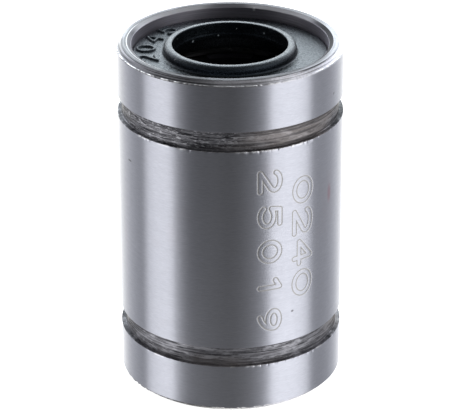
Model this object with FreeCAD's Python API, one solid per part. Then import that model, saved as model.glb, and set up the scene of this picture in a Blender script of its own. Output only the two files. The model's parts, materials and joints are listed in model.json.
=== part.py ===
import FreeCAD, Part
import math
import os

# A linear ball bushing for a 6 mm shaft, in millimetres.
# The origin is the middle of the bushing on the shaft's axis, and +Z runs along the shaft.
# Its two ends are mirror images, so each end's part is made at +Z and mirrored for -Z.

# Standard sizes
SHAFT_R = 3.0
SLEEVE_R = 6.0
SLEEVE_LENGTH = 19.0
RING_GROOVE_SPAN = 13.5
RING_GROOVE_WIDTH = 1.1
RING_GROOVE_R = 5.75

# Sleeve
END_CHAMFER = 0.29
MOUTH_R = 5.43
MOUTH_DEPTH = 0.14
COUNTERBORE_R = 5.2
SHOULDER_Z = 7.45
SNAP_GROOVE_R = 5.35
SNAP_GROOVE_Z = (7.85, 8.25)
CAGE_RING_GROOVE_R = 5.25
CAGE_RING_GROOVE_Z = (6.90, 7.25)
RELIEF_R = 4.98
LAND_HALF_ANGLE = 14.0

# Balls and their circuits
CIRCUITS = 4
BALL_R = 25.4 * 3 / 64 / 2
BALLS_PER_ROW = 7
BALLS_PER_TURN = 3
TURN_R = 1.2
SHAFT_CLEARANCE = 0.005
LAND_CLEARANCE = 0.009
PITCH = math.pi * TURN_R / BALLS_PER_TURN
HALF_ROW = BALLS_PER_ROW * PITCH / 2
LOADED_R = SHAFT_R + SHAFT_CLEARANCE + BALL_R
LAND_R = LOADED_R + BALL_R + LAND_CLEARANCE

# Cage
CAGE_BORE_R = 3.25
CAGE_R = 4.90
CAGE_RACE_R = 4.12
CAGE_RACE_HALF_ANGLE = 16.0
CAGE_HALF_LENGTH = 6.85
TRACK_R = BALL_R + 0.04

# Retaining ring that keeps the cage in
RING_R = (4.60, 5.18)
RING_Z = (6.92, 7.22)
RING_GAP_ANGLE = 36.0

# Seal plate and end seal
PLATE_R = (3.70, 5.14)
PLATE_THICKNESS = 0.25
SEAL_R = 5.14
SEAL_BEAD_R = 5.30
SEAL_BEAD_Z = (7.90, 8.20)
SEAL_BEAD_SLOPE = 0.08
SEAL_FACE_Z = 8.82
SEAL_EDGE_CHAMFER = 0.08
LIP_R = 3.02
LIP_Z = (8.45, 8.66)
LIP_ROOT_R = 3.50
COLLAR_TOP_Z = 9.30
COLLAR_BORE_R = (3.04, 3.05)
LIP_STEP = 0.07
COLLAR_R = 3.52
COLLAR_ROUND = 0.14
COLLAR_FLAT_R = (3.10, COLLAR_R - COLLAR_ROUND)
COLLAR_FOOT = 0.12

ORIGIN = FreeCAD.Vector(0, 0, 0)
Z_AXIS = FreeCAD.Vector(0, 0, 1)


def vector(x, y, z):
    return FreeCAD.Vector(x, y, z)


def wire_of(path, place):
    """Closed wire: (a, b) ends a straight run, and (mid_a, mid_b, a, b) ends an arc through the middle."""
    ends = [place(*step[-2:]) for step in path]
    edges = []
    for start, end, step in zip(ends[-1:] + ends[:-1], ends, path):
        if len(step) == 4:
            edges.append(Part.Arc(start, place(*step[:2]), end).toShape())
        else:
            edges.append(Part.LineSegment(start, end).toShape())
    return Part.Wire(edges)


def turned(path, start_angle=0.0, sweep=360.0):
    """Solid turned about the shaft's axis from a path of (radius, height), from start_angle in degrees."""
    face = Part.Face(wire_of(path, lambda r, z: vector(r, 0, z)))
    face.rotate(ORIGIN, Z_AXIS, start_angle)
    return face.revolve(ORIGIN, Z_AXIS, sweep)


def at_circuit(shape, circuit):
    """Copy of a shape of the first circuit, at another circuit."""
    copy = shape.copy()
    copy.rotate(ORIGIN, Z_AXIS, circuit * 360.0 / CIRCUITS)
    return copy


def other_end(shape):
    return shape.mirror(ORIGIN, Z_AXIS)


def box_profile(radii, heights):
    """Rectangular path between two radii and two heights."""
    return [(radii[0], heights[0]), (radii[1], heights[0]), (radii[1], heights[1]), (radii[0], heights[1])]


def outer_sleeve():
    """Ground tube with four raceway lands inside, one for each loaded row, and relief between them."""
    end_z = SLEEVE_LENGTH / 2
    groove_top = RING_GROOVE_SPAN / 2
    groove_bottom = groove_top - RING_GROOVE_WIDTH
    outside = [
        (SLEEVE_R, groove_bottom),
        (RING_GROOVE_R, groove_bottom),
        (RING_GROOVE_R, groove_top),
        (SLEEVE_R, groove_top),
        (SLEEVE_R, end_z - END_CHAMFER),
        (SLEEVE_R - END_CHAMFER, end_z),
    ]
    inside = [
        (MOUTH_R, end_z),
        (COUNTERBORE_R, end_z - MOUTH_DEPTH),
        (COUNTERBORE_R, SNAP_GROOVE_Z[1]),
        (SNAP_GROOVE_R, SNAP_GROOVE_Z[1]),
        (SNAP_GROOVE_R, SNAP_GROOVE_Z[0]),
        (COUNTERBORE_R, SNAP_GROOVE_Z[0]),
        (COUNTERBORE_R, SHOULDER_Z),
        (RELIEF_R, SHOULDER_Z),
        (RELIEF_R, CAGE_RING_GROOVE_Z[1]),
        (CAGE_RING_GROOVE_R, CAGE_RING_GROOVE_Z[1]),
        (CAGE_RING_GROOVE_R, CAGE_RING_GROOVE_Z[0]),
        (RELIEF_R, CAGE_RING_GROOVE_Z[0]),
    ]
    upper = outside + inside
    lower = [(r, -z) for r, z in reversed(upper)]
    tube = turned(upper + lower)
    root_r = (RELIEF_R + RING_GROOVE_R) / 2
    ramp = RELIEF_R - LAND_R
    land_path = [
        (LAND_R, -HALF_ROW),
        (RELIEF_R, -HALF_ROW - ramp),
        (root_r, -HALF_ROW - ramp),
        (root_r, HALF_ROW + ramp),
        (RELIEF_R, HALF_ROW + ramp),
        (LAND_R, HALF_ROW),
    ]
    land = turned(land_path, -LAND_HALF_ANGLE, 2 * LAND_HALF_ANGLE)
    lands = [at_circuit(land, circuit) for circuit in range(CIRCUITS)]
    return tube.fuse(lands).removeSplitter()


def track():
    """Space for one circuit's balls: a round-bottomed groove round a closed loop, open to the outside."""
    outer_x = CAGE_R + TRACK_R
    path = [
        (LOADED_R, TRACK_R),
        (LOADED_R - TRACK_R, 0, LOADED_R, -TRACK_R),
        (outer_x, -TRACK_R),
        (outer_x, TRACK_R),
    ]
    section = Part.Face(wire_of(path, lambda x, y: vector(x, y, -HALF_ROW)))
    loaded = section.extrude(vector(0, 0, 2 * HALF_ROW))
    returning = loaded.translated(vector(0, 2 * TURN_R, 0))
    bottom_turn = section.revolve(vector(0, TURN_R, -HALF_ROW), vector(1, 0, 0), 180)
    return loaded.fuse([returning, bottom_turn, other_end(bottom_turn)]).removeSplitter()


def ball_cage():
    """Moulded retainer with one track for each circuit and a flat-bottomed groove over each raceway land."""
    heights = (-CAGE_HALF_LENGTH, CAGE_HALF_LENGTH)
    body = turned(box_profile((CAGE_BORE_R, CAGE_R), heights))
    race_path = box_profile((CAGE_RACE_R, CAGE_R + TRACK_R), (2 * heights[0], 2 * heights[1]))
    race = turned(race_path, -CAGE_RACE_HALF_ANGLE, 2 * CAGE_RACE_HALF_ANGLE)
    ball_track = track()
    cuts = []
    for circuit in range(CIRCUITS):
        cuts.append(at_circuit(race, circuit))
        cuts.append(at_circuit(ball_track, circuit))
    return body.cut(cuts).removeSplitter()


def retaining_ring(gap_at):
    """C-shaped spring ring in the sleeve's inner groove, with its gap centred on the angle gap_at."""
    start = gap_at + RING_GAP_ANGLE / 2
    return turned(box_profile(RING_R, RING_Z), start, 360.0 - RING_GAP_ANGLE)


def seal_plate():
    """Flat washer that rests on the sleeve's shoulder and backs the rubber."""
    return turned(box_profile(PLATE_R, (SHOULDER_Z, SHOULDER_Z + PLATE_THICKNESS)))


def end_seal():
    """Rubber ring: a flange with a snap-in bead, a collar with a drafted bore, and a wiping lip."""
    base_z = SHOULDER_Z + PLATE_THICKNESS
    corner = 1 - math.sqrt(0.5)
    round_start_z = COLLAR_TOP_Z - COLLAR_ROUND
    inner_round = COLLAR_FLAT_R[0] - COLLAR_BORE_R[1]
    path = [
        (LIP_ROOT_R, base_z),
        (LIP_R, LIP_Z[0]),
        (LIP_R, LIP_Z[1]),
        (COLLAR_BORE_R[0], LIP_Z[1] + LIP_STEP),
        (COLLAR_BORE_R[1], COLLAR_TOP_Z - inner_round),
        (
            COLLAR_BORE_R[1] + corner * inner_round,
            COLLAR_TOP_Z - corner * inner_round,
            COLLAR_FLAT_R[0],
            COLLAR_TOP_Z,
        ),
        (COLLAR_FLAT_R[1], COLLAR_TOP_Z),
        (COLLAR_R - corner * COLLAR_ROUND, COLLAR_TOP_Z - corner * COLLAR_ROUND, COLLAR_R, round_start_z),
        (COLLAR_R, SEAL_FACE_Z + COLLAR_FOOT),
        (
            COLLAR_R + corner * COLLAR_FOOT,
            SEAL_FACE_Z + corner * COLLAR_FOOT,
            COLLAR_R + COLLAR_FOOT,
            SEAL_FACE_Z,
        ),
        (SEAL_R - SEAL_EDGE_CHAMFER, SEAL_FACE_Z),
        (SEAL_R, SEAL_FACE_Z - SEAL_EDGE_CHAMFER),
        (SEAL_R, SEAL_BEAD_Z[1]),
        (SEAL_BEAD_R, SEAL_BEAD_Z[1] - SEAL_BEAD_SLOPE),
        (SEAL_BEAD_R, SEAL_BEAD_Z[0] + SEAL_BEAD_SLOPE),
        (SEAL_R, SEAL_BEAD_Z[0]),
        (SEAL_R, base_z),
    ]
    return turned(path)


def ball(y, z):
    """One ball of the first circuit, whose loop lies in the plane at the loaded row's radius."""
    return Part.makeSphere(BALL_R, vector(LOADED_R, y, z))


def row_of_balls(y):
    """Straight row of balls along the shaft, centred on the bushing's middle."""
    middle = (BALLS_PER_ROW - 1) / 2
    return [ball(y, (number - middle) * PITCH) for number in range(BALLS_PER_ROW)]


def turn_of_balls():
    """Balls that go round the top turn, from the loaded row to the return row."""
    balls = []
    for number in range(BALLS_PER_TURN):
        angle = math.pi * (number + 0.5) / BALLS_PER_TURN
        balls.append(ball(TURN_R * (1 - math.cos(angle)), HALF_ROW + TURN_R * math.sin(angle)))
    return balls


def ball_nodes():
    """Node name to shape: each loaded ball alone, and a circuit's unloaded balls in three groups."""
    loaded = row_of_balls(0)
    returning = Part.makeCompound(row_of_balls(2 * TURN_R))
    top_turn = Part.makeCompound(turn_of_balls())
    bottom_turn = Part.makeCompound([other_end(one) for one in turn_of_balls()])
    nodes = {}
    for circuit in range(CIRCUITS):
        label = circuit + 1
        for number, one in enumerate(loaded, start=1):
            nodes[f"loaded_ball_{label}_{number}"] = at_circuit(one, circuit)
        nodes[f"return_balls_{label}"] = at_circuit(returning, circuit)
        nodes[f"top_turn_balls_{label}"] = at_circuit(top_turn, circuit)
        nodes[f"bottom_turn_balls_{label}"] = at_circuit(bottom_turn, circuit)
    return nodes


def bushing():
    """Every node of the bushing, by name."""
    nodes = {
        "outer_sleeve": outer_sleeve(),
        "ball_cage": ball_cage(),
        "retaining_ring_top": retaining_ring(45.0),
        "retaining_ring_bottom": other_end(retaining_ring(225.0)),
        "seal_plate_top": seal_plate(),
        "seal_plate_bottom": other_end(seal_plate()),
        "end_seal_top": end_seal(),
        "end_seal_bottom": other_end(end_seal()),
    }
    nodes.update(ball_nodes())
    return nodes


os.makedirs("parts", exist_ok=True)
for name, shape in bushing().items():
    shape.exportStep(f"parts/{name}.step")
    print(f"{name:24s} solids {len(shape.Solids)} valid {shape.isValid()} volume {shape.Volume:.4f} mm3")
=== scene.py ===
import json
import math

import bmesh
import bpy
import numpy as np
from mathutils import Matrix, Quaternion, Vector


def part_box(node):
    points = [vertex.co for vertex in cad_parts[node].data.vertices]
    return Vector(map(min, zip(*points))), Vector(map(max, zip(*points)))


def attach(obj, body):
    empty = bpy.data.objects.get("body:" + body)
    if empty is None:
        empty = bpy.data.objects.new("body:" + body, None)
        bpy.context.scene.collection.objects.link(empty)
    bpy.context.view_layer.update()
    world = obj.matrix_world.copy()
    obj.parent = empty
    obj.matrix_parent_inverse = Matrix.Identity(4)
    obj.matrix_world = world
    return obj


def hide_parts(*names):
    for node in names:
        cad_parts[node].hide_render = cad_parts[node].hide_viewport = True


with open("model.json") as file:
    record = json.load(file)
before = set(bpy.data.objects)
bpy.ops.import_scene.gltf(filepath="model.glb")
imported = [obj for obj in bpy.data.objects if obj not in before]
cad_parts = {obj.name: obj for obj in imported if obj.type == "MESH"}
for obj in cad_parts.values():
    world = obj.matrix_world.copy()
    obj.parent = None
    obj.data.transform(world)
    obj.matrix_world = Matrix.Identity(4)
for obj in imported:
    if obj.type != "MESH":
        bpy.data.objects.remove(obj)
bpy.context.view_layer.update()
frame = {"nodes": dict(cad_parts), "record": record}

# ---------------------------------------------------------------- sizes, in millimetres
MM = 0.001
SLEEVE_LOW, SLEEVE_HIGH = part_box("outer_sleeve")
SLEEVE_R = SLEEVE_HIGH.x / MM
SLEEVE_END = SLEEVE_HIGH.z / MM
RING_GROOVE_Z = (5.65, 6.75)
RING_GROOVE_R = 5.75
END_CHAMFER = 0.29
COUNTERBORE_R = 5.20
MOUTH_R = 5.43
MOUTH_DEPTH = 0.14
SNAP_GROOVE_R = 5.35
SNAP_GROOVE_Z = (7.85, 8.25)
SHOULDER_Z = 7.45
RELIEF_R = 4.98
CAGE_RING_GROOVE_R = 5.25
CAGE_RING_GROOVE_Z = (6.90, 7.25)
LAND_R = 4.205
LAND_END = 4.398
LAND_HALF_ANGLE = math.radians(14)
CIRCUITS = 4

SEAL_LIP_R = 3.02
SEAL_COLLAR_R = (3.05, 3.52)
SEAL_TOP_Z = 9.30
FLANGE_Z = 8.82
FLANGE_R = 5.14
SEAL_BASE_Z = 7.70
SEAL_RIB_R = 5.30
SEAL_RIB_Z = (7.90, 8.20)

BALL_R = 25.4 * 3 / 64 / 2
BALL_TRACK_R = 3.6003
BALLS_PER_ROW = 7
BALLS_PER_TURN = 3
TURN_R = 1.2
PITCH = math.pi * TURN_R / BALLS_PER_TURN
HALF_ROW = BALLS_PER_ROW * PITCH / 2

FRONT = math.radians(-90)
FULL_TURN = 2 * math.pi


def smooth(low, high, value):
    """0 below low, 1 above high, and a smooth step between."""
    t = np.clip((value - low) / (high - low), 0, 1)
    return t * t * (3 - 2 * t)


def grain(u, v, seed, wrap=997):
    """Smooth random field from 0 to 1 with cells of one unit, which repeats after wrap cells of v."""
    lattice = np.random.default_rng(seed).random((512, wrap))
    u0, v0 = np.floor(u).astype(int), np.floor(v).astype(int)
    fu, fv = smooth(0, 1, u - u0), smooth(0, 1, v - v0)
    low = lattice[u0 % 512, v0 % wrap] * (1 - fv) + lattice[u0 % 512, (v0 + 1) % wrap] * fv
    high = lattice[(u0 + 1) % 512, v0 % wrap] * (1 - fv) + lattice[(u0 + 1) % 512, (v0 + 1) % wrap] * fv
    return low * (1 - fu) + high * fu


def round_cells(angle, cells):
    """Angle as a count of cells, for grain that closes on itself round the axis."""
    return angle % FULL_TURN / FULL_TURN * cells


def apart(angle, other):
    """Signed angle from other to angle, within half a turn."""
    return (angle - other + math.pi) % FULL_TURN - math.pi


# ---------------------------------------------------------------- numerals
def bend(x, y, across, up, start, end, steps=16):
    """Points of an elliptical arc between two angles in degrees."""
    turn = np.radians(np.linspace(start, end, steps + 1))
    return np.stack([x + across * np.cos(turn), y + up * np.sin(turn)], 1)


NUMERALS = {
    "0": [bend(0.5, 0.5, 0.5, 0.5, 0, 360, 28)],
    "1": [[(0.2, 0.78), (0.58, 1), (0.58, 0)]],
    "2": [np.vstack([bend(0.5, 0.71, 0.47, 0.29, 165, -38), [(0.02, 0)], [(1, 0)]])],
    "4": [[(0.74, 0), (0.74, 1), (0, 0.3), (1, 0.3)]],
    "5": [np.vstack([[(0.92, 1)], [(0.14, 1)], [(0.06, 0.55)], bend(0.48, 0.34, 0.5, 0.34, 125, -150)])],
    "9": [np.vstack([bend(0.5, 0.7, 0.48, 0.3, -15, 345, 26), bend(0.1, 0.7, 0.88, 0.72, -10, -75, 8)])],
}


def strokes(row, height, width, advance):
    """Segments of a row of numerals in millimetres, centred on the origin: x runs along the row."""
    found = []
    for place, numeral in enumerate(row):
        left = (place - (len(row) - 1) / 2) * advance - width / 2
        for path in NUMERALS[numeral]:
            points = np.array(path) * (width, height) + (left, -height / 2)
            found += list(zip(points[:-1], points[1:]))
    return found


def stroke_distance(segments, along, up):
    """Distance of each point from the nearest segment."""
    nearest = np.full(along.shape, 9.0)
    for start, end in segments:
        dx, dy = end - start
        t = np.clip(((along - start[0]) * dx + (up - start[1]) * dy) / (dx * dx + dy * dy), 0, 1)
        nearest = np.minimum(nearest, np.hypot(along - start[0] - t * dx, up - start[1] - t * dy))
    return nearest


# ---------------------------------------------------------------- meshes
def corner_arc(before, corner, after, radius, steps=5):
    """Points that round a corner of a profile with an arc of that radius."""
    a = np.subtract(before, corner)
    b = np.subtract(after, corner)
    a = a / np.linalg.norm(a)
    b = b / np.linalg.norm(b)
    half = math.acos(float(np.clip(a @ b, -1, 1))) / 2
    middle = (a + b) / np.linalg.norm(a + b)
    centre = corner + middle * radius / math.sin(half)
    first = corner + a * radius / math.tan(half) - centre
    last = corner + b * radius / math.tan(half) - centre
    points = []
    for k in range(steps + 1):
        between = first * (1 - k / steps) + last * (k / steps)
        points.append(centre + between / np.linalg.norm(between) * radius)
    return points


def profile(corners):
    """Closed profile from (r, z, rounding, zone, step).

    zone and step belong to the run that leaves the corner.
    """
    count = len(corners)
    arcs = []
    for k, (r, z, rounding, _, _) in enumerate(corners):
        here = np.array([r, z])
        if rounding > 0:
            arcs.append(corner_arc(corners[k - 1][:2], here, corners[(k + 1) % count][:2], rounding))
        else:
            arcs.append([here])
    points, zones = [], []
    for k, (_, _, _, zone, step) in enumerate(corners):
        points += arcs[k]
        zones += [zone] * len(arcs[k])
        start, end = arcs[k][-1], arcs[(k + 1) % count][0]
        pieces = max(1, math.ceil(np.linalg.norm(end - start) / step))
        for j in range(1, pieces):
            points.append(start + (end - start) * j / pieces)
            zones.append(zone)
    return np.array(points), zones


def mirrored(upper, closing):
    """Both halves of a profile that is alike above and below: closing is the run that joins the halves."""
    lower = []
    for k in range(len(upper) - 1, -1, -1):
        r, z, rounding = upper[k][:3]
        zone, step = upper[k - 1][3:] if k else closing
        lower.append((r, -z, rounding, zone, step))
    return upper + lower


def turned(name, points, zones, angles, materials, offset, **shares):
    """Closed mesh of a profile turned about Z, with a material for each zone.

    offset(r, z, angle) is how far each point moves out along the profile's normal, in millimetres. Each of
    shares is a function of the same three, kept on the mesh under its name for the materials.
    """
    rows, columns = len(points), len(angles)
    along = np.roll(points, -1, 0) - np.roll(points, 1, 0)
    normals = np.stack([along[:, 1], -along[:, 0]], 1)
    normals /= np.linalg.norm(normals, axis=1)[:, None]
    r = np.repeat(points[:, :1], columns, 1)
    z = np.repeat(points[:, 1:], columns, 1)
    a = np.repeat(np.asarray(angles)[None], rows, 0)
    out = offset(r, z, a)
    moved_r = r + out * normals[:, :1]
    moved_z = z + out * normals[:, 1:]
    places = np.stack([moved_r * np.cos(a), moved_r * np.sin(a), moved_z], -1).reshape(-1, 3) * MM
    index = np.arange(rows * columns).reshape(rows, columns)
    up = np.roll(index, -1, 0)
    quads = np.stack([index, np.roll(index, -1, 1), np.roll(up, -1, 1), up], -1).reshape(-1, 4)
    mesh = bpy.data.meshes.new(name)
    mesh.vertices.add(len(places))
    mesh.vertices.foreach_set("co", places.astype(np.float32).ravel())
    mesh.loops.add(quads.size)
    mesh.loops.foreach_set("vertex_index", quads.astype(np.int32).ravel())
    mesh.polygons.add(len(quads))
    mesh.polygons.foreach_set("loop_start", np.arange(0, quads.size, 4, dtype=np.int32))
    names = list(materials)
    slots = np.repeat([names.index(zone) for zone in zones], columns).astype(np.int32)
    for look in materials.values():
        mesh.materials.append(look)
    mesh.polygons.foreach_set("material_index", slots)
    mesh.update(calc_edges=True)
    mesh.validate()
    mesh.shade_smooth()
    mesh.set_sharp_from_angle(angle=math.radians(50))
    for share, amount in shares.items():
        layer = mesh.attributes.new(share, "FLOAT", "POINT")
        layer.data.foreach_set("value", amount(r, z, a).astype(np.float32).ravel())
    piece = bpy.data.objects.new(name, mesh)
    bpy.context.scene.collection.objects.link(piece)
    return piece


# ---------------------------------------------------------------- material parts
def material(name):
    made = bpy.data.materials.new(name)
    made.use_nodes = True
    tree = made.node_tree
    return made, tree, tree.nodes["Principled BSDF"]


def link(tree, source, target):
    tree.links.new(source, target)


def noise(tree, scale, detail=4.0, roughness=0.55, move=0.0):
    """Noise in the object's own space; scale is per metre, one for each axis."""
    coordinate = tree.nodes.new("ShaderNodeTexCoord")
    mapping = tree.nodes.new("ShaderNodeMapping")
    mapping.inputs["Scale"].default_value = scale
    mapping.inputs["Location"].default_value = (move, move, move)
    node = tree.nodes.new("ShaderNodeTexNoise")
    node.inputs["Scale"].default_value = 1.0
    node.inputs["Detail"].default_value = detail
    node.inputs["Roughness"].default_value = roughness
    link(tree, coordinate.outputs["Object"], mapping.inputs["Vector"])
    link(tree, mapping.outputs["Vector"], node.inputs["Vector"])
    return node.outputs["Fac"]


def streaks(tree, across, along, **kind):
    """Noise drawn out round the axis: across is its scale along Z, along its scale round the axis."""
    return noise(tree, (along, along, across), **kind)


def ranged(tree, value, low, high, to_low, to_high):
    node = tree.nodes.new("ShaderNodeMapRange")
    node.inputs["From Min"].default_value = low
    node.inputs["From Max"].default_value = high
    node.inputs["To Min"].default_value = to_low
    node.inputs["To Max"].default_value = to_high
    link(tree, value, node.inputs["Value"])
    return node.outputs["Result"]


def blended(tree, factor, first, second):
    """Colour between two colours, each a triple or a socket, by factor."""
    node = tree.nodes.new("ShaderNodeMix")
    node.data_type = "RGBA"
    for place, colour in ((6, first), (7, second)):
        if isinstance(colour, tuple):
            node.inputs[place].default_value = (*colour, 1)
        else:
            link(tree, colour, node.inputs[place])
    link(tree, factor, node.inputs[0])
    return node.outputs[2]


def math_node(tree, operation, first, second):
    node = tree.nodes.new("ShaderNodeMath")
    node.operation = operation
    for place, value in enumerate((first, second)):
        if isinstance(value, (int, float)):
            node.inputs[place].default_value = value
        else:
            link(tree, value, node.inputs[place])
    return node.outputs[0]


def share_of(tree, name):
    """A share kept on the mesh, 0 to 1."""
    node = tree.nodes.new("ShaderNodeAttribute")
    node.attribute_name = name
    return node.outputs["Fac"]


def marks_round_axis(tree, shader):
    """Tangent round Z, so that highlights spread across grinding and turning marks."""
    tangent = tree.nodes.new("ShaderNodeTangent")
    tangent.direction_type = "RADIAL"
    tangent.axis = "Z"
    shader.inputs["Anisotropic Rotation"].default_value = 0.25
    link(tree, tangent.outputs["Tangent"], shader.inputs["Tangent"])


def bump(tree, shader, height, distance):
    node = tree.nodes.new("ShaderNodeBump")
    node.inputs["Distance"].default_value = distance
    link(tree, height, node.inputs["Height"])
    link(tree, node.outputs["Normal"], shader.inputs["Normal"])


# ---------------------------------------------------------------- materials
def ground_steel():
    """Centreless-ground steel: fine short marks round the axis, matt where it is etched or rubbed."""
    made, tree, shader = material("ground_steel")
    shader.inputs["Metallic"].default_value = 1.0
    fine = streaks(tree, 30000.0, 3200.0, detail=4.0, roughness=0.65)
    broad = streaks(tree, 9000.0, 700.0, move=3.1)
    cloud = noise(tree, (420.0, 420.0, 300.0), detail=2.0, move=7.7)
    steel = blended(tree, ranged(tree, fine, 0.3, 0.7, 0, 1), (0.53, 0.542, 0.6), (0.64, 0.65, 0.716))
    steel = blended(tree, ranged(tree, broad, 0.4, 0.75, 0, 0.22), steel, (0.48, 0.49, 0.545))
    steel = blended(tree, ranged(tree, cloud, 0.6, 0.8, 0, 0.4), steel, (0.57, 0.545, 0.595))
    wear_and_highlight, etched = share_of(tree, "wear_and_highlight"), share_of(tree, "etched")
    steel = blended(tree, share_of(tree, "stain"), steel, (0.55, 0.42, 0.48))
    steel = blended(tree, wear_and_highlight, steel, (0.9, 0.9, 0.92))
    steel = blended(tree, share_of(tree, "dirt_and_shade"), steel, (0.1, 0.095, 0.1))
    link(tree, blended(tree, etched, steel, (0.46, 0.45, 0.435)), shader.inputs["Base Color"])
    matt = math_node(tree, "MAXIMUM", wear_and_highlight, etched)
    rough = ranged(tree, broad, 0.3, 0.7, 0.36, 0.39)
    rough = math_node(tree, "MAXIMUM", rough, ranged(tree, matt, 0, 1, 0, 0.62))
    link(tree, rough, shader.inputs["Roughness"])
    link(tree, ranged(tree, matt, 0, 1, 0.99, 0.1), shader.inputs["Anisotropic"])
    marks_round_axis(tree, shader)
    bump(tree, shader, fine, 0.0000016)
    return made


def turned_steel():
    """End faces and chamfers as turned: ridges round the axis, with dirt between them."""
    made, tree, shader = material("turned_steel")
    shader.inputs["Metallic"].default_value = 1.0
    marks = noise(tree, (9000.0, 9000.0, 9000.0), detail=3.0)
    patches = noise(tree, (900.0, 900.0, 900.0), detail=2.0, move=1.7)
    face = blended(tree, ranged(tree, marks, 0.3, 0.7, 0, 1), (0.12, 0.12, 0.132), (0.28, 0.278, 0.302))
    slope = blended(tree, ranged(tree, marks, 0.3, 0.7, 0, 1), (0.6, 0.6, 0.65), (0.84, 0.84, 0.9))
    steel = blended(tree, share_of(tree, "slope"), face, slope)
    steel = blended(tree, ranged(tree, patches, 0.5, 0.75, 0, 0.35), steel, (0.24, 0.24, 0.265))
    steel = blended(tree, share_of(tree, "dirt_and_shade"), steel, (0.045, 0.045, 0.05))
    wear_and_highlight = share_of(tree, "wear_and_highlight")
    # the bright share whitens the beads of the upper chamfer's lip: a painted highlight
    link(tree, blended(tree, wear_and_highlight, steel, (1.0, 1.0, 1.0)), shader.inputs["Base Color"])
    rough = ranged(tree, marks, 0.3, 0.7, 0.34, 0.46)
    rough = math_node(tree, "MINIMUM", rough, ranged(tree, wear_and_highlight, 0, 1, 0.5, 0.34))
    link(tree, rough, shader.inputs["Roughness"])
    link(tree, ranged(tree, wear_and_highlight, 0, 1, 0.9, 0.1), shader.inputs["Anisotropic"])
    marks_round_axis(tree, shader)
    return made


def scaled_steel():
    """Groove walls left unground: dark hardening scale, lighter in patches, brown in places."""
    made, tree, shader = material("scaled_steel")
    lines = streaks(tree, 13000.0, 420.0, detail=5.0, roughness=0.7)
    patches = streaks(tree, 3000.0, 800.0, detail=4.0, roughness=0.65, move=4.3)
    flakes = streaks(tree, 11000.0, 3600.0, detail=4.0, roughness=0.7, move=8.6)
    rust = noise(tree, (160.0, 160.0, 300.0), detail=2.0, move=6.4)
    scale = blended(tree, ranged(tree, lines, 0.41, 0.6, 0, 1), (0.06, 0.06, 0.067), (0.36, 0.357, 0.385))
    scale = blended(tree, ranged(tree, patches, 0.52, 0.62, 0, 0.75), scale, (0.48, 0.478, 0.515))
    torn = math_node(tree, "MULTIPLY", ranged(tree, flakes, 0.54, 0.59, 0, 0.9), share_of(tree, "flaked"))
    scale = blended(tree, torn, scale, (0.66, 0.66, 0.7))
    scale = blended(tree, ranged(tree, rust, 0.52, 0.7, 0, 0.6), scale, (0.37, 0.334, 0.32))
    # oxide in the pits and painted shade in the groove corners and on their ledges darken the scale here
    scale = blended(tree, share_of(tree, "dirt_and_shade"), scale, (0.03, 0.03, 0.035))
    wear_and_highlight = share_of(tree, "wear_and_highlight")
    link(tree, blended(tree, wear_and_highlight, scale, (0.9, 0.9, 0.92)), shader.inputs["Base Color"])
    link(tree, ranged(tree, patches, 0.4, 0.7, 0.6, 0.4), shader.inputs["Roughness"])
    shader.inputs["Metallic"].default_value = 0.9
    bump(tree, shader, lines, 0.000006)
    return made


def bored_steel():
    """Inside of the sleeve: dull, dark and faintly purple from hardening."""
    made, tree, shader = material("bored_steel")
    shader.inputs["Metallic"].default_value = 1.0
    lines = streaks(tree, 16000.0, 400.0)
    steel = blended(tree, ranged(tree, lines, 0.3, 0.7, 0, 1), (0.26, 0.252, 0.29), (0.4, 0.385, 0.435))
    link(tree, blended(tree, share_of(tree, "wear_and_highlight"), steel, (0.7, 0.7, 0.73)), shader.inputs["Base Color"])
    shader.inputs["Roughness"].default_value = 0.48
    shader.inputs["Anisotropic"].default_value = 0.6
    marks_round_axis(tree, shader)
    return made


def mouth_steel():
    """Slope inside each mouth: turned, dull, with the grey left by hardening."""
    made, tree, shader = material("mouth_steel")
    shader.inputs["Metallic"].default_value = 1.0
    lines = streaks(tree, 20000.0, 600.0, detail=3.0)
    steel = blended(tree, ranged(tree, lines, 0.3, 0.7, 0, 1), (0.14, 0.14, 0.153), (0.27, 0.268, 0.29))
    steel = blended(tree, share_of(tree, "dirt_and_shade"), steel, (0.04, 0.04, 0.045))
    # the bright share lightens the mouth: a painted highlight along its edge, light stretches of the slope
    # and a pale speck
    link(tree, blended(tree, share_of(tree, "wear_and_highlight"), steel, (0.92, 0.92, 0.95)), shader.inputs["Base Color"])
    shader.inputs["Roughness"].default_value = 0.66
    return made


def seal_rubber():
    """Black moulded rubber with a grained, faintly blue-green sheen, a few random specks of dust and pale
    specks at given places in the bore.
    """
    made, tree, shader = material("seal_rubber")
    grains = noise(tree, (13000.0, 13000.0, 13000.0), detail=5.0, roughness=0.7)
    bloom = noise(tree, (1300.0, 1300.0, 1300.0), detail=3.0, move=2.2)
    dust = noise(tree, (5200.0, 5200.0, 5200.0), detail=0.0, move=5.9)
    light = ranged(tree, grains, 0.35, 0.7, 0, 1)
    rubber = blended(tree, light, (0.001, 0.0015, 0.002), (0.004, 0.0055, 0.0065))
    rubber = blended(tree, ranged(tree, bloom, 0.5, 0.8, 0, 0.6), rubber, (0.006, 0.008, 0.0095))
    rubber = blended(tree, ranged(tree, dust, 0.85, 0.88, 0, 0.8), rubber, (0.5, 0.5, 0.5))
    rubber = blended(tree, share_of(tree, "dust"), rubber, (0.5, 0.56, 0.6))
    link(tree, rubber, shader.inputs["Base Color"])
    link(tree, ranged(tree, grains, 0.3, 0.7, 0.2, 0.38), shader.inputs["Roughness"])
    shader.inputs["Specular IOR Level"].default_value = 0.46
    shader.inputs["Specular Tint"].default_value = (0.72, 0.9, 1.1, 1)
    bump(tree, shader, grains, 0.000024)
    return made


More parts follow.
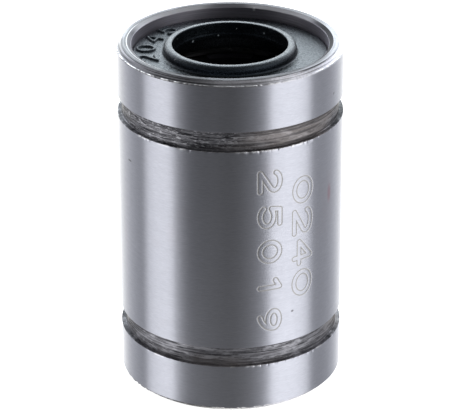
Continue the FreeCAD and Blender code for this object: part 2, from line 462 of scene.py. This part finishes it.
def cage_resin():
    """Black acetal resin, moulded and matt."""
    made, tree, shader = material("cage_resin")
    grains = noise(tree, (9000.0, 9000.0, 9000.0), detail=4.0)
    resin = blended(tree, grains, (0.003, 0.003, 0.004), (0.01, 0.01, 0.012))
    link(tree, resin, shader.inputs["Base Color"])
    link(tree, ranged(tree, grains, 0.3, 0.7, 0.4, 0.55), shader.inputs["Roughness"])
    bump(tree, shader, grains, 0.000006)
    return made


def ball_steel():
    """Polished bearing steel under a thin film of oil."""
    made, tree, shader = material("ball_steel")
    shader.inputs["Metallic"].default_value = 1.0
    film = noise(tree, (2500.0, 2500.0, 2500.0), detail=3.0)
    link(tree, blended(tree, film, (0.62, 0.63, 0.66), (0.8, 0.8, 0.82)), shader.inputs["Base Color"])
    link(tree, ranged(tree, film, 0.3, 0.7, 0.06, 0.16), shader.inputs["Roughness"])
    return made


def spring_steel():
    """Oiled spring steel with fine drawn marks."""
    made, tree, shader = material("spring_steel")
    shader.inputs["Metallic"].default_value = 1.0
    marks = streaks(tree, 12000.0, 600.0)
    link(tree, blended(tree, marks, (0.14, 0.14, 0.15), (0.36, 0.36, 0.38)), shader.inputs["Base Color"])
    link(tree, ranged(tree, marks, 0.3, 0.7, 0.25, 0.42), shader.inputs["Roughness"])
    return made


def plate_steel():
    """Plain stamped steel."""
    made, tree, shader = material("plate_steel")
    shader.inputs["Metallic"].default_value = 1.0
    marks = noise(tree, (6000.0, 6000.0, 6000.0), detail=4.0)
    link(tree, blended(tree, marks, (0.1, 0.1, 0.105), (0.2, 0.2, 0.21)), shader.inputs["Base Color"])
    link(tree, ranged(tree, marks, 0.3, 0.7, 0.28, 0.45), shader.inputs["Roughness"])
    return made


# ---------------------------------------------------------------- outer sleeve
# how far up the wall and how far round it the engraving reaches
ENGRAVED_Z = (-5.0, 4.7)
ENGRAVED_ANGLE = (FRONT + math.radians(12.2), FRONT + math.radians(49.5))
STROKE_HALF = 0.13
ENGRAVED_DEPTH = 0.006
# row of numerals, degrees right of the front, centre height, numeral width, advance
ENGRAVED_ROWS = [("25019", 20.0, -0.15, 1.05, 2.0), ("0240", 38.9, 0.29, 1.25, 1.79)]
ENGRAVED_HEIGHT = 1.08
# lip that turning left on the end chamfers: rise, half width, and its middle's distance from the outer edge
LIP_RISE = 0.04
LIP_HALF = 0.046
LIP_AT = 0.055
GROOVE_ROUGHNESS = 0.014
RIM_ROUGHNESS = 0.014
NICK_DEPTH = 0.03
# height of each groove's lower edge, and where burrs stand on it: degrees right of the front, half length
BURRS = {
    RING_GROOVE_Z[0]: [(-49, 5), (-35, 4), (-24.5, 3), (13, 12), (36, 6), (120, 12), (200, 9), (268, 15)],
    -RING_GROOVE_Z[1]: [(-40, 4), (1, 1.5), (12, 5), (52, 3), (140, 10), (230, 14)],
}
# dark flecks and a stain: degrees right of the front, height, half length round the axis and half height
FLECKS = [(32.8, -3.91, 0.1, 0.07), (63.4, 7.52, 0.08, 0.08), (-61.3, 3.86, 0.22, 0.05)]
STAIN = (59.7, 2.05, 0.25, 0.75)
# stretches, as degrees right of the front and half length: scale flaked off the upper groove, painted shade
# on the grooves' ledges, the highest lip, a painted highlight along the mouth's edge, the mouth's slope dark
# and light, and the rim dull
FLAKED = [(-38, 62), (150, 60)]
LEDGE_SHADE = [(-88, 45), (88, 45)]
LIP_STANDS = [(-32, 48)]
MOUTH_EDGE_HIGHLIGHT = [(-75, 50)]
MOUTH_DIRT = [(86, 38)]
MOUTH_LIGHT = [(146, 28), (-138, 36)]
RIM_DULL = [(-52, 52)]
# azimuth in degrees, height and size of a pale speck on the mouth's slope
MOUTH_SPECK = (75.4, 9.317, 0.11)
# how dark each kind of dirt and painted shade is, where 1 is the dark colour itself, and for the grooves
# first the upper one's
# painted shade in the grooves' corners and on their ledges, upper groove first
CORNER_SHADE = (0.7, 0.455)
PIT_DIRT = (1, 0.7)
LINE_DIRT = (0.6, 0.35)
FLECK_DIRT = 0.8
RIM_DIRT = 0.6
MOUTH_SLOPE_DIRT = 0.9


def sleeve_profile():
    """Section of the sleeve: the ground wall and its grooves, the end faces, and the stepped bore."""
    groove_low, groove_high = RING_GROOVE_Z
    upper = [
        (SLEEVE_R, ENGRAVED_Z[1], 0, "ground", 0.1),
        (SLEEVE_R, groove_low, 0.03, "groove", 0.03),
        (RING_GROOVE_R, groove_low, 0.05, "groove", 0.032),
        (RING_GROOVE_R, groove_high, 0.05, "groove", 0.03),
        (SLEEVE_R, groove_high, 0.015, "ground", 0.1),
        (SLEEVE_R, SLEEVE_END - END_CHAMFER, 0.02, "rim", 0.012),
        (SLEEVE_R - END_CHAMFER, SLEEVE_END, 0.03, "rim", 0.014),
        (MOUTH_R, SLEEVE_END, 0.02, "mouth", 0.02),
        (COUNTERBORE_R, SLEEVE_END - MOUTH_DEPTH, 0.04, "wall", 0.08),
        (COUNTERBORE_R, SNAP_GROOVE_Z[1], 0, "wall", 0.4),
        (SNAP_GROOVE_R, SNAP_GROOVE_Z[1], 0, "wall", 0.4),
        (SNAP_GROOVE_R, SNAP_GROOVE_Z[0], 0, "wall", 0.4),
        (COUNTERBORE_R, SNAP_GROOVE_Z[0], 0, "wall", 0.4),
        (COUNTERBORE_R, SHOULDER_Z, 0, "wall", 0.4),
        (RELIEF_R, SHOULDER_Z, 0, "wall", 0.4),
        (RELIEF_R, CAGE_RING_GROOVE_Z[1], 0, "wall", 0.4),
        (CAGE_RING_GROOVE_R, CAGE_RING_GROOVE_Z[1], 0, "wall", 0.4),
        (CAGE_RING_GROOVE_R, CAGE_RING_GROOVE_Z[0], 0, "wall", 0.4),
        (RELIEF_R, CAGE_RING_GROOVE_Z[0], 0, "wall", 0.4),
        (RELIEF_R, LAND_END + RELIEF_R - LAND_R, 0, "wall", 0.2),
        (RELIEF_R, LAND_END, 0, "wall", 0.5),
    ]
    corners = mirrored(upper, ("ground", 0.03))
    corners[-1] = (SLEEVE_R, ENGRAVED_Z[0], 0, "ground", 0.03)
    return profile(corners)


def sleeve_angles():
    """Angles of the mesh's columns, closer together across the engraving."""
    start, end = (angle % FULL_TURN for angle in ENGRAVED_ANGLE)
    coarse, fine = math.radians(0.6), math.radians(0.24)
    parts = [np.arange(0, start, coarse), np.arange(start, end, fine), np.arange(end, FULL_TURN, coarse)]
    return np.concatenate(parts)


def engraved(r, z, a):
    """How far each point lies in the engraved outline of the numerals, 0 to 1."""
    share = np.zeros(r.shape)
    outside = r > SLEEVE_R - 0.001
    for row, right, height, width, advance in ENGRAVED_ROWS:
        up = apart(a, FRONT + math.radians(right)) * SLEEVE_R
        along = height - z
        reach = (len(row) - 1) / 2 * advance + 1.0
        near = outside & (np.abs(up) < 1.0) & (np.abs(along) < reach)
        gap = stroke_distance(strokes(row, ENGRAVED_HEIGHT, width, advance), along[near], up[near])
        share[near] = np.maximum(share[near], 1 - smooth(0.018, 0.05, np.abs(gap - STROKE_HALF)))
    return share


def near_end(z):
    """Whether each height lies within the end chamfers."""
    return np.abs(z) > SLEEVE_END - END_CHAMFER - 0.02


def lip_share(r, z, a):
    """Broken lip that turning left along the outer edge of the end chamfers."""
    across = 1 - smooth(0, LIP_HALF, np.abs((SLEEVE_R - r) * math.sqrt(2) - LIP_AT))
    beads = grain(np.sign(z) * 3 + 9, round_cells(a, 330), 31, 330)
    patches = smooth(0.25, 0.6, grain(np.sign(z) * 3 + 9, round_cells(a, 22), 32, 22))
    standing = np.maximum(patches, stretches(a, LIP_STANDS))
    on_chamfer = (r > SLEEVE_R - END_CHAMFER) & near_end(z)
    return np.where(on_chamfer, across * smooth(0.1, 0.7, beads) * (0.3 + 0.7 * standing), 0)


def near_edge(r, z, edge_r, edge_z, reach):
    """Share of each point that lies near an edge that is alike above and below."""
    return 1 - smooth(reach * 0.6, reach, np.hypot(r - edge_r, np.abs(z) - edge_z))


def groove_relief(r, z, a):
    """Roughness of the unground groove walls, about -1 in pits and 1 on the proud spots; 0 elsewhere."""
    inside = (r < SLEEVE_R - 0.02) & (r > RING_GROOVE_R - 0.01) & (np.abs(z) < RING_GROOVE_Z[1] + 0.01)
    pits = grain(z / 0.05 + 90, round_cells(a, 260), 2, 260)
    scale = grain(z / 0.1 + 90, round_cells(a, 90), 1, 90)
    lines = grain(z / 0.05 + 90, round_cells(a, 20), 3, 20)
    return np.where(inside, (0.8 * pits + 1.0 * scale + 1.3 * lines - 1.55) / 1.1, 0)


def rim_relief(r, z, a):
    """Turning ridges of the end faces and chamfers, -1 in the valleys and 0 on the crests; 0 elsewhere."""
    on_rim = (np.abs(z) > SLEEVE_END - END_CHAMFER) & (r > MOUTH_R)
    slant = (r - np.abs(z) + SLEEVE_END) / 0.07
    ridges = grain(slant + 5, round_cells(a, 9) + np.sign(z) * 3, 7, 9)
    fine = grain(slant * 2.3 + 50, round_cells(a, 40), 8, 40)
    return np.where(on_rim, 0.65 * ridges + 0.35 * fine - 1, 0)


def chamfer_share(r, z, a):
    """0 on the flat end faces, which keep their hardening scale, and 1 on the end chamfers."""
    return smooth(0.01, 0.05, r - (SLEEVE_R - END_CHAMFER)) * near_end(z)


def stretches(a, places):
    """Share of each angle that lies in stretches given as (degrees right of the front, half length)."""
    found = np.zeros(a.shape)
    for right, half in places:
        off = np.abs(apart(a, FRONT + math.radians(right)))
        found = np.maximum(found, 1 - smooth(math.radians(half * 0.6), math.radians(half), off))
    return found


def groove_burr(r, z, a):
    """Torn bright metal on the lower edge of each groove."""
    beads = 0.4 + 0.6 * smooth(0.15, 0.7, grain(np.sign(z) * 3 + 9, round_cells(a, 360), 13, 360))
    burr = np.zeros(r.shape)
    for edge_z, places in BURRS.items():
        edge = 1 - smooth(0.025, 0.05, np.hypot(r - SLEEVE_R, z - edge_z))
        burr = np.maximum(burr, edge * beads * stretches(a, places))
    return burr


def flecks(r, z, a):
    """Small dark flecks and one thin scratch on the ground wall."""
    found = np.zeros(r.shape)
    for right, height, half_length, half_height in FLECKS:
        along = apart(a, FRONT + math.radians(right)) * SLEEVE_R / half_length
        found = np.maximum(found, 1 - smooth(0.5, 1.1, np.hypot(along, (z - height) / half_height)))
    return found * (r > SLEEVE_R - 0.001)


def stain(r, z, a):
    """Faint brown stain on the ground wall."""
    right, height, half_length, half_height = STAIN
    along = apart(a, FRONT + math.radians(right)) * SLEEVE_R / half_length
    return (1 - smooth(0.2, 1, np.hypot(along, (z - height) / half_height))) * (r > SLEEVE_R - 0.001)


def sleeve_offset(r, z, a):
    """Relief of the sleeve, and the raceway lands that stand in from the bore."""
    out = -ENGRAVED_DEPTH * engraved(r, z, a)
    out += GROOVE_ROUGHNESS * groove_relief(r, z, a) + RIM_ROUGHNESS * rim_relief(r, z, a)
    nicks = smooth(0.5, 0.95, grain(np.sign(z) * 3 + 9, round_cells(a, 300), 5, 300))
    for edge_z in BURRS:
        out -= NICK_DEPTH * nicks * (1 - smooth(0.04, 0.07, np.hypot(r - SLEEVE_R, z - edge_z)))
    out += LIP_RISE * lip_share(r, z, a)
    inner = (r < RELIEF_R + 0.001) & (np.abs(z) < LAND_END + 0.001)
    circuit = apart(a * CIRCUITS, 0) / CIRCUITS
    out += np.where(inner & (np.abs(circuit) < LAND_HALF_ANGLE), RELIEF_R - LAND_R, 0)
    return out


def groove_corner_shade(r, z, a):
    """Painted shade in the corners of the grooves and on their ledges that face up."""
    dirt_and_shade = np.zeros(r.shape)
    for edge_z in RING_GROOVE_Z:
        dirt_and_shade = np.maximum(dirt_and_shade, near_edge(r, z, RING_GROOVE_R, edge_z, 0.14))
        above_ledge = z - edge_z if edge_z == RING_GROOVE_Z[0] else z + edge_z
        dirt_and_shade = np.where(np.abs(above_ledge) < 0.15, 0.4 * dirt_and_shade, dirt_and_shade)
        ledge = (r > RING_GROOVE_R + 0.03) & (r < SLEEVE_R - 0.002) & (np.abs(above_ledge) < 0.04)
        dirt_and_shade = np.maximum(dirt_and_shade, ledge * np.maximum(0.1 + 0.3 * (z > 0), 0.85 * stretches(a, LEDGE_SHADE)))
    return dirt_and_shade


def groove_dirt(r, z, a):
    """Oxide in the grooves' pits and between their turned lines."""
    pits = smooth(0.15, 0.95, -groove_relief(r, z, a)) * (0.3 + 0.7 * sleeve_flaked(r, z, a))
    pits *= np.where(z > 0, *PIT_DIRT)
    in_groove = (r < SLEEVE_R - 0.02) & (r > RING_GROOVE_R - 0.03) & (np.abs(z) < RING_GROOVE_Z[1])
    lines = smooth(0.52, 0.68, grain(z / 0.055 + 140, round_cells(a, 14), 41, 14))
    return np.maximum(pits, np.where(z > 0, *LINE_DIRT) * in_groove * lines)


def end_dirt(r, z, a):
    """Dirt in the valleys of the end faces, on the dull stretch of the rim and on the mouth's slope."""
    dirt_and_shade = (0.9 - 0.3 * chamfer_share(r, z, a)) * smooth(0.44, 0.76, -rim_relief(r, z, a))
    on_rim = (r > MOUTH_R) * (np.abs(z) > SLEEVE_END - END_CHAMFER)
    dirt_and_shade += RIM_DIRT * on_rim * stretches(a, RIM_DULL)
    in_mouth = (r < MOUTH_R - 0.01) * (np.abs(z) > SLEEVE_END - MOUTH_DEPTH)
    return dirt_and_shade + MOUTH_SLOPE_DIRT * in_mouth * stretches(a, MOUTH_DIRT)


def sleeve_dirt_and_shade(r, z, a):
    """Dark share: dirt and oxide in the pits and valleys, painted shade in the groove corners and on their
    ledges, and the flecks.
    """
    dirt_and_shade = np.maximum(groove_dirt(r, z, a), np.where(z > 0, *CORNER_SHADE) * groove_corner_shade(r, z, a))
    return np.clip(dirt_and_shade + end_dirt(r, z, a) + FLECK_DIRT * flecks(r, z, a), 0, 1)


def sleeve_flaked(r, z, a):
    """Where the scale of the grooves is torn off in flakes."""
    return np.where(z > 0, 0.25 + 0.75 * stretches(a, FLAKED), 0.2)


def mouth_highlight_and_marks(r, z, a):
    """Bright share of the mouth: a painted highlight along its edge, the light stretches of its slope and
    the pale speck.
    """
    # painted highlight along a stretch of the mouth's edge on the left
    edge = near_edge(r, z, MOUTH_R, SLEEVE_END, 0.03) * stretches(a, MOUTH_EDGE_HIGHLIGHT)
    slope = (r < MOUTH_R - 0.01) & (r > COUNTERBORE_R - 0.001) & (z > SLEEVE_END - MOUTH_DEPTH)
    degrees, height, size = MOUTH_SPECK
    off = np.hypot(apart(a, math.radians(degrees)) * r, z - height)
    speck = (1 - smooth(size * 0.5, size, off)) * (r < MOUTH_R)
    return np.maximum(0.5 * edge, np.maximum(speck, 0.45 * slope * stretches(a, MOUTH_LIGHT)))


def sleeve_wear_and_highlight(r, z, a):
    """Bright share: the lip of the upper chamfer, whitened as a painted highlight, the burrs, and the mouth
    with a painted highlight along its edge and its pale marks.
    """
    edges = np.maximum(lip_share(r, z, a) * (z > 0), groove_burr(r, z, a))
    return np.maximum(edges, mouth_highlight_and_marks(r, z, a))


def outer_sleeve():
    points, zones = sleeve_profile()
    materials = {
        "ground": ground_steel(), "groove": scaled_steel(), "rim": turned_steel(),
        "mouth": mouth_steel(), "wall": bored_steel(),
    }
    shares = {"wear_and_highlight": sleeve_wear_and_highlight, "dirt_and_shade": sleeve_dirt_and_shade, "etched": engraved, "slope": chamfer_share,
              "flaked": sleeve_flaked, "stain": stain}
    piece = turned("sleeve", points, zones, sleeve_angles(), materials, sleeve_offset, **shares)
    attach(piece, "bushing_body")
    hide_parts("outer_sleeve")


# ---------------------------------------------------------------- end seals
SEAL_NUMERALS = "2045"
SEAL_NUMERALS_R = 4.45
SEAL_NUMERALS_AT = math.radians(166)
SEAL_NUMERALS_ADVANCE = 1.45
SEAL_NUMERALS_SIZE = (0.78, 0.92)
SEAL_NUMERALS_RISE = 0.1
SEAL_GRAIN = 0.018
SEAL_WAVES = 0.006
# azimuth in degrees, height and size of the pale specks in the bore
SEAL_SPECKS = [(131, 8.52, 0.07), (102, 8.61, 0.05), (53.3, 8.91, 0.06)]


def seal_profile():
    """Section of the top seal: flange with its rib, collar and lip."""
    collar_in, collar_out = SEAL_COLLAR_R
    corners = [
        (3.50, SEAL_BASE_Z, 0, "rubber", 0.2),
        (FLANGE_R, SEAL_BASE_Z, 0, "rubber", 0.2),
        (FLANGE_R, SEAL_RIB_Z[0], 0, "rubber", 0.2),
        (SEAL_RIB_R, SEAL_RIB_Z[0] + 0.08, 0, "rubber", 0.2),
        (SEAL_RIB_R, SEAL_RIB_Z[1] - 0.08, 0, "rubber", 0.2),
        (FLANGE_R, SEAL_RIB_Z[1], 0, "rubber", 0.2),
        (FLANGE_R, FLANGE_Z, 0.07, "rubber", 0.03),
        (collar_out, FLANGE_Z, 0.1, "rubber", 0.03),
        (collar_out, SEAL_TOP_Z, 0.27, "rubber", 0.03),
        (collar_in, SEAL_TOP_Z, 0.05, "rubber", 0.03),
        (3.04, 8.73, 0, "rubber", 0.05),
        (SEAL_LIP_R, 8.66, 0, "rubber", 0.05),
        (SEAL_LIP_R, 8.45, 0, "rubber", 0.1),
    ]
    return profile(corners)


def seal_offset(r, z, a):
    """Relief of the seal: raised numerals, the flange's grain and a slight waviness."""
    on_flange = (z > FLANGE_Z - 0.001) & (z < FLANGE_Z + 0.001) & (r < FLANGE_R - 0.06)
    up = r - SEAL_NUMERALS_R
    along = -apart(a, SEAL_NUMERALS_AT) * SEAL_NUMERALS_R
    width, height = SEAL_NUMERALS_SIZE
    near = on_flange & (np.abs(along) < 4) & (np.abs(up) < 0.7)
    out = np.zeros(r.shape)
    numerals = strokes(SEAL_NUMERALS, height, width, SEAL_NUMERALS_ADVANCE)
    gap = stroke_distance(numerals, along[near], up[near])
    out[near] = SEAL_NUMERALS_RISE * (1 - smooth(0.04, 0.09, gap))
    out += np.where(on_flange, SEAL_GRAIN * (grain(r / 0.08, round_cells(a, 330), 21, 330) - 0.5), 0)
    out += SEAL_WAVES * (grain(z / 0.3 + r, round_cells(a, 50), 22, 50) - 1) * (z > FLANGE_Z - 0.001)
    return out


def seal_dust(r, z, a):
    """Pale specks at given places on the bore's wall."""
    found = np.zeros(r.shape)
    for degrees, height, size in SEAL_SPECKS:
        off = np.hypot(apart(a, math.radians(degrees)) * r, z - height)
        found = np.maximum(found, 1 - smooth(size * 0.5, size, off))
    return found * (r < SEAL_COLLAR_R[0] + 0.02)


def end_seals(rubber):
    points, zones = seal_profile()
    angles = np.radians(np.arange(0, 360, 0.5))
    for end, turn in (("top", Matrix()), ("bottom", Matrix.Rotation(math.pi, 4, "X"))):
        piece = turned(f"seal_{end}", points, zones, angles, {"rubber": rubber}, seal_offset, dust=seal_dust)
        piece.data.transform(turn)
        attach(piece, "bushing_body")
        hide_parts(f"end_seal_{end}")


# ---------------------------------------------------------------- balls
def row_places(y):
    """Places (y, z) of a row's balls."""
    middle = (BALLS_PER_ROW - 1) / 2
    return [(y, (number - middle) * PITCH) for number in range(BALLS_PER_ROW)]


def turn_places(end):
    """Places (y, z) of a turn's balls, at the top for 1 and at the bottom for -1."""
    places = []
    for number in range(BALLS_PER_TURN):
        angle = math.pi * (number + 0.5) / BALLS_PER_TURN
        places.append((TURN_R * (1 - math.cos(angle)), end * (HALF_ROW + TURN_R * math.sin(angle))))
    return places


def balls(name, places, circuit, body, node, look):
    """Balls at (y, z) places in a circuit's own plane, turned to that circuit's azimuth."""
    turn = Matrix.Rotation(FULL_TURN * circuit / CIRCUITS, 4, "Z")
    mesh = bpy.data.meshes.new(name)
    shape = bmesh.new()
    for y, z in places:
        at = Matrix.Translation(Vector((BALL_TRACK_R, y, z)) * MM)
        bmesh.ops.create_icosphere(shape, subdivisions=4, radius=BALL_R * MM, matrix=turn @ at)
    shape.to_mesh(mesh)
    shape.free()
    mesh.shade_smooth()
    mesh.materials.append(look)
    piece = bpy.data.objects.new(name, mesh)
    bpy.context.scene.collection.objects.link(piece)
    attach(piece, body)
    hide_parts(node)


def all_balls(look):
    for circuit in range(CIRCUITS):
        label = circuit + 1
        for number, place in enumerate(row_places(0), start=1):
            node = f"loaded_ball_{label}_{number}"
            balls(f"ball_{label}_{number}", [place], circuit, f"loaded_row_{label}", node, look)
        returning = row_places(2 * TURN_R)
        balls(f"returning_{label}", returning, circuit, f"return_row_{label}", f"return_balls_{label}", look)
        for end, side in (("top", 1), ("bottom", -1)):
            node = f"{end}_turn_balls_{label}"
            balls(f"{end}_turning_{label}", turn_places(side), circuit, f"{end}_turn_{label}", node, look)


# ---------------------------------------------------------------- pieces kept from the frame
def kept_nodes(looks):
    for subpart in frame["record"]["subparts"]:
        look = looks.get(subpart["material_slot"])
        if look:
            kept = frame["nodes"][subpart["node"]]
            kept.data.materials.clear()
            kept.data.materials.append(look)


# ---------------------------------------------------------------- studio
FLOOR_Z = SLEEVE_LOW.z
FLOOR_HALF = 0.6
CAMERA_DISTANCE = 0.1357
CAMERA_ELEVATION = math.radians(24.91)
CAMERA_TARGET = Vector((0, 0, -0.000219))
CAMERA_LENS = 195.9
CAMERA_ROLL = math.radians(-0.16)
CARD_DISTANCE = 0.3
CARD_BOTTOM = -0.45
TABLE_GLOW_LENGTH = 0.03
TABLE_GLOW_WIDTH = 0.02
TABLE_GLOW_LEVEL = 0.17
BRIGHTEST = 6.0
# the light cards: azimuth of both sides in degrees, height of the top in metres, radiance
SOFTBOXES = {"left_softbox": (-92.5, -58, 0.08, 1.3), "right_softbox": (40, 85.5, 0.3, 1.17)}
# degrees round from the camera's side towards +X, and how bright the room is there: below the horizon,
# then above
LOW_LEVELS = [
    (-180, 4.0), (-172, 3.1), (-162, 2.2), (-145, 1.15), (-127, 0.66), (-117, 0.52), (-108, 0.43),
    (-98, 0.38), (-52, 0.26), (-36, 0.12), (-18, 0.06), (0, 0.035), (12, 0.05), (22, 0.11), (32, 0.3),
    (38, 0.4), (90, 0.42), (112, 0.34), (122, 0.38), (134, 0.58), (149, 1.0), (164, 2.2), (173, 3.1),
    (180, 4.0),
]
HIGH_LEVELS = [
    (-180, 5.0), (-165, 3.7), (-139, 1.7), (-122, 0.6), (-102, 0.33), (-77, 0.19), (-44, 0.1), (0, 0.05),
    (44, 0.24), (77, 0.39), (102, 0.49), (122, 0.8), (139, 2.1), (165, 3.8), (180, 5.0),
]
# the overhead part, how much brighter it gets towards +X, and the heights between which it takes over,
# where 1 is straight up
OVERHEAD_LEVEL = 0.31
OVERHEAD_LEAN = 0.22
OVERHEAD_FROM = (0.52, 0.82)
# the heights between which the low levels give way to the high ones
HORIZON = (0, 0.22)
# tints below and above the horizon, of the room round the bushing and of the backdrop, which starts this
# many degrees round
LOW_TINTS = ((0.995, 1.01, 1.05), (1.0, 0.985, 0.9))
HIGH_TINTS = ((0.99, 1.0, 1.05), (0.91, 0.985, 1.03))
BACKDROP_FROM = 140


def floor():
    """Plain white floor under the bushing, even in brightness."""
    half = FLOOR_HALF
    corners = [(x, y, FLOOR_Z) for x, y in ((-half, -half), (half, -half), (half, half), (-half, half))]
    mesh = bpy.data.meshes.new("floor")
    mesh.from_pydata(corners, [], [(0, 1, 2, 3)])
    made, tree, shader = material("floor_white")
    cloud = noise(tree, (3.0, 3.0, 3.0), detail=2.0)
    link(tree, blended(tree, cloud, (0.9, 0.9, 0.9), (0.93, 0.93, 0.93)), shader.inputs["Base Color"])
    shader.inputs["Roughness"].default_value = 1.0
    shader.inputs["Emission Color"].default_value = (1, 1, 1, 1)
    shader.inputs["Emission Strength"].default_value = 1.0
    mesh.materials.append(made)
    plane = bpy.data.objects.new("floor", mesh)
    bpy.context.scene.collection.objects.link(plane)
    plane.visible_glossy = False
    plane.visible_diffuse = False
    plane.visible_shadow = False


def card(name, place, target, width, height, radiance):
    """Light card that the camera doesn't see, facing the target, with its height nearest to upright."""
    light = bpy.data.lights.new(name, "AREA")
    light.shape = "RECTANGLE"
    light.size = width
    light.size_y = height
    light.energy = radiance * math.pi * width * height
    made = bpy.data.objects.new(name, light)
    bpy.context.scene.collection.objects.link(made)
    made.location = place
    made.rotation_euler = (Vector(target) - Vector(place)).to_track_quat("-Z", "Y").to_euler()
    made.visible_camera = False


def softbox(name, first, last, top, radiance):
    """Upright light card between two azimuths in degrees, counted from the camera's side towards +X."""
    middle, half = math.radians((first + last) / 2), math.radians((last - first) / 2)
    z = (top + CARD_BOTTOM) / 2
    place = (CARD_DISTANCE * math.sin(middle), -CARD_DISTANCE * math.cos(middle), z)
    card(name, place, (0, 0, z), 2 * CARD_DISTANCE * math.tan(half), top - CARD_BOTTOM, radiance)


def table_glow():
    """Faint light off the table just in front of the bushing."""
    y = -SLEEVE_R * MM - TABLE_GLOW_LENGTH / 2
    card("table_glow", (0, y, FLOOR_Z), (0, y, 0), TABLE_GLOW_WIDTH, TABLE_GLOW_LENGTH, TABLE_GLOW_LEVEL)


def azimuth_ramp(tree, azimuth, levels, tints):
    """Brightness and tint of the room by azimuth."""
    ramp = tree.nodes.new("ShaderNodeValToRGB")
    link(tree, ranged(tree, azimuth, -math.pi, math.pi, 0, 1), ramp.inputs["Fac"])
    elements = ramp.color_ramp.elements
    while len(elements) < len(levels):
        elements.new(0.5)
    for element, (degrees, level) in zip(elements, levels):
        tint = tints[abs(degrees) > BACKDROP_FROM]
        element.position = (degrees + 180) / 360
        element.color = (*[level / BRIGHTEST * part for part in tint], 1)
    return ramp.outputs["Color"]


def room():
    """Grey room: dark on the camera's side, white behind the bushing, dim overhead."""
    world = bpy.data.worlds.new("room")
    bpy.context.scene.world = world
    world.use_nodes = True
    tree = world.node_tree
    coordinate = tree.nodes.new("ShaderNodeTexCoord")
    split = tree.nodes.new("ShaderNodeSeparateXYZ")
    link(tree, coordinate.outputs["Generated"], split.inputs["Vector"])
    forward = math_node(tree, "MULTIPLY", split.outputs["Y"], -1)
    azimuth = math_node(tree, "ARCTAN2", split.outputs["X"], forward)
    height = split.outputs["Z"]
    low = azimuth_ramp(tree, azimuth, LOW_LEVELS, LOW_TINTS)
    high = azimuth_ramp(tree, azimuth, HIGH_LEVELS, HIGH_TINTS)
    sides = blended(tree, ranged(tree, height, *HORIZON, 0, 1), low, high)
    dark = (OVERHEAD_LEVEL - OVERHEAD_LEAN) / BRIGHTEST
    bright = (OVERHEAD_LEVEL + OVERHEAD_LEAN) / BRIGHTEST
    dim = ranged(tree, split.outputs["X"], -1, 1, dark, bright)
    background = tree.nodes["Background"]
    background.inputs["Strength"].default_value = BRIGHTEST
    overhead = ranged(tree, height, *OVERHEAD_FROM, 0, 1)
    link(tree, blended(tree, overhead, sides, dim), background.inputs["Color"])


def camera():
    """Long lens at the front, a little above the bushing."""
    data = bpy.data.cameras.new("camera")
    data.lens = CAMERA_LENS
    data.sensor_width = 36
    data.clip_start = 0.01
    data.clip_end = 10
    seat = bpy.data.objects.new("camera", data)
    bpy.context.scene.collection.objects.link(seat)
    back = Vector((0, -math.cos(CAMERA_ELEVATION), math.sin(CAMERA_ELEVATION)))
    seat.location = CAMERA_TARGET + back * CAMERA_DISTANCE
    upright = (-back).to_track_quat("-Z", "Y")
    seat.rotation_euler = (upright @ Quaternion((0, 0, 1), CAMERA_ROLL)).to_euler()
    bpy.context.scene.camera = seat


camera()
floor()
room()
for name, sides in SOFTBOXES.items():
    softbox(name, *sides)
table_glow()
bpy.context.scene.view_settings.view_transform = "Standard"

outer_sleeve()
end_seals(seal_rubber())
all_balls(ball_steel())
kept_nodes({"cage_resin": cage_resin(), "spring_steel": spring_steel(), "plate_steel": plate_steel()})
